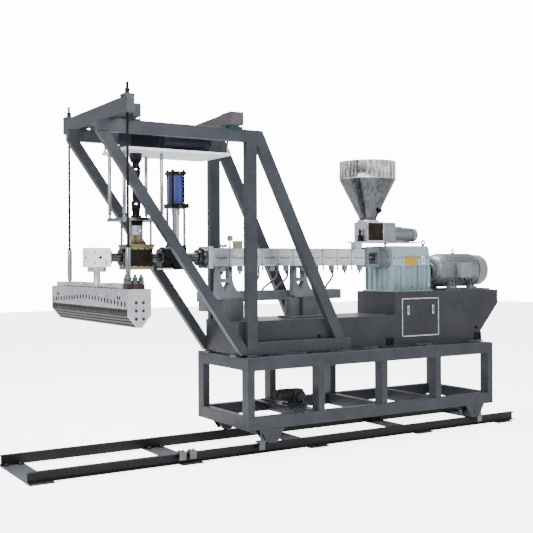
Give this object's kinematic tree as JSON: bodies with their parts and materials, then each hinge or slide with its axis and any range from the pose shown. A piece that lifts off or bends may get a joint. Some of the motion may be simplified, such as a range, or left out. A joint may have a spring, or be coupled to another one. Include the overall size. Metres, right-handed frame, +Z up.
{
  "type": "plastic extruder",
  "caption": "Rail-mounted twin-screw plastic extruder: wheeled frame, stepped bed, heated barrel, gear case and motor, feed hopper, melt pump under a gantry and a hanging flat sheet die.",
  "frame": {"origin": "on the ground under the middle of the track, halfway between the rails", "axes": "+X along the machine from the die end to the motor end, +Y away from the access panel side, +Z up"},
  "size_m": [6.1, 2.048, 3.611],
  "materials": {
    "rail_paint": "satin black paint, worn along the running edge",
    "tie_steel": "dusty grey paint",
    "clamp_steel": "zinc-plated steel",
    "frame_paint": "slate grey machine enamel",
    "wheel_steel": "turned tread, dark sides",
    "drive_paint": "dark green-grey enamel",
    "pad_steel": "bare steel plate",
    "trim_aluminium": "pale satin edging",
    "black_steel": "blackened steel",
    "barrel_steel": "machined steel",
    "cover_stainless": "brushed stainless sheet",
    "stand_paint": "light grey enamel",
    "gear_paint": "pale blue-green enamel",
    "bright_steel": "bright ground steel",
    "motor_paint": "grey motor enamel",
    "hopper_stainless": "polished stainless sheet",
    "crossbeam_paint": "grey primer with a brown cast",
    "shim_paint": "teal paint",
    "white_paint": "white enamel",
    "pump_drive_paint": "dark blue enamel",
    "pump_steel": "dark oiled steel",
    "cylinder_blue": "deep blue enamel",
    "die_chrome": "polished chromed steel",
    "die_lip_steel": "dark lip bars",
    "conduit_grey": "ribbed flexible conduit",
    "connector_grey": "cast connector shells"
  },
  "bodies": {
    "track": {"rails": "rail_paint", "tie_plates": "tie_steel", "rail_stops": "clamp_steel"},
    "carriage": {"access_panel": "frame_paint", "barrel_adapter": "black_steel", "barrel_core": "barrel_steel", "barrel_instruments": "clamp_steel", "barrel_supports": "stand_paint", "carriage_cross_members": "frame_paint", "carriage_posts": "frame_paint", "carriage_side_beams": "frame_paint", "coupling_housing": "stand_paint", "die_body": "die_chrome", "die_connectors": "connector_grey", "die_end_plates": "die_chrome", "die_hangers": "black_steel", "die_lips": "die_lip_steel", "fan_cover": "motor_paint", "feed_block": "white_paint", "feed_hopper": "hopper_stainless", "feeder_drive": "motor_paint", "feeder_housing": "cover_stainless", "gantry_crossbeams": "crossbeam_paint", "gantry_front_braces": "frame_paint", "gantry_posts": "frame_paint", "gantry_rear_braces": "frame_paint", "gantry_sole_beams": "frame_paint", "gantry_top_beams": "frame_paint", "gear_case": "gear_paint", "gear_cover": "gear_paint", "guide_shoes": "clamp_steel", "heater_conduits": "conduit_grey", "heater_covers": "cover_stainless", "lifting_lugs": "black_steel", "machine_bed": "frame_paint", "main_motor": "motor_paint", "melt_pump": "pump_steel", "motor_terminal_box": "motor_paint", "panel_trim": "trim_aluminium", "pump_drive": "pump_drive_paint", "pump_frame": "bright_steel", "pump_platform": "white_paint", "screen_changer": "black_steel", "screen_cylinder": "cylinder_blue", "screw_shafts": "bright_steel", "shim_plates": "shim_paint", "support_pads": "pad_steel", "support_pedestals": "frame_paint", "travel_drive": "drive_paint", "wheel_brackets": "frame_paint", "wiring_trough": "stand_paint"},
    "drive_wheelset": {"drive_wheelset": "wheel_steel"},
    "idler_wheel_near": {"idler_wheel_near": "wheel_steel"},
    "idler_wheel_far": {"idler_wheel_far": "wheel_steel"},
    "screen_slide": {"screen_slide": "black_steel"},
    "drive_shaft": {"drive_shaft": "black_steel"}
  },
  "joints": [
    {"name": "carriage_travel", "type": "slide", "parent": "track", "child": "carriage", "axis": [1, 0, 0], "range_m": [-0.7, 0.45]},
    {"name": "drive_wheels_roll", "type": "hinge", "parent": "carriage", "child": "drive_wheelset", "pos_m": [-0.539, 0, 0.1773], "axis": [0, 1, 0], "continuous": true},
    {"name": "idler_near_roll", "type": "hinge", "parent": "carriage", "child": "idler_wheel_near", "pos_m": [2.299, -0.441, 0.1773], "axis": [0, 1, 0], "continuous": true},
    {"name": "idler_far_roll", "type": "hinge", "parent": "carriage", "child": "idler_wheel_far", "pos_m": [2.299, 0.441, 0.1773], "axis": [0, 1, 0], "continuous": true},
    {"name": "screen_change", "type": "slide", "parent": "carriage", "child": "screen_slide", "axis": [0, 0, 1], "range_m": [-0.11, 0]},
    {"name": "pump_shaft_turn", "type": "hinge", "parent": "carriage", "child": "drive_shaft", "pos_m": [-1.803, 0, 2.7], "axis": [0, 0, 1], "continuous": true}
  ],
  "couplings": [
    {"joint": "drive_wheels_roll", "follows": "carriage_travel", "rad_per_m": 15.385},
    {"joint": "idler_near_roll", "follows": "carriage_travel", "rad_per_m": 15.385},
    {"joint": "idler_far_roll", "follows": "carriage_travel", "rad_per_m": 15.385}
  ]
}
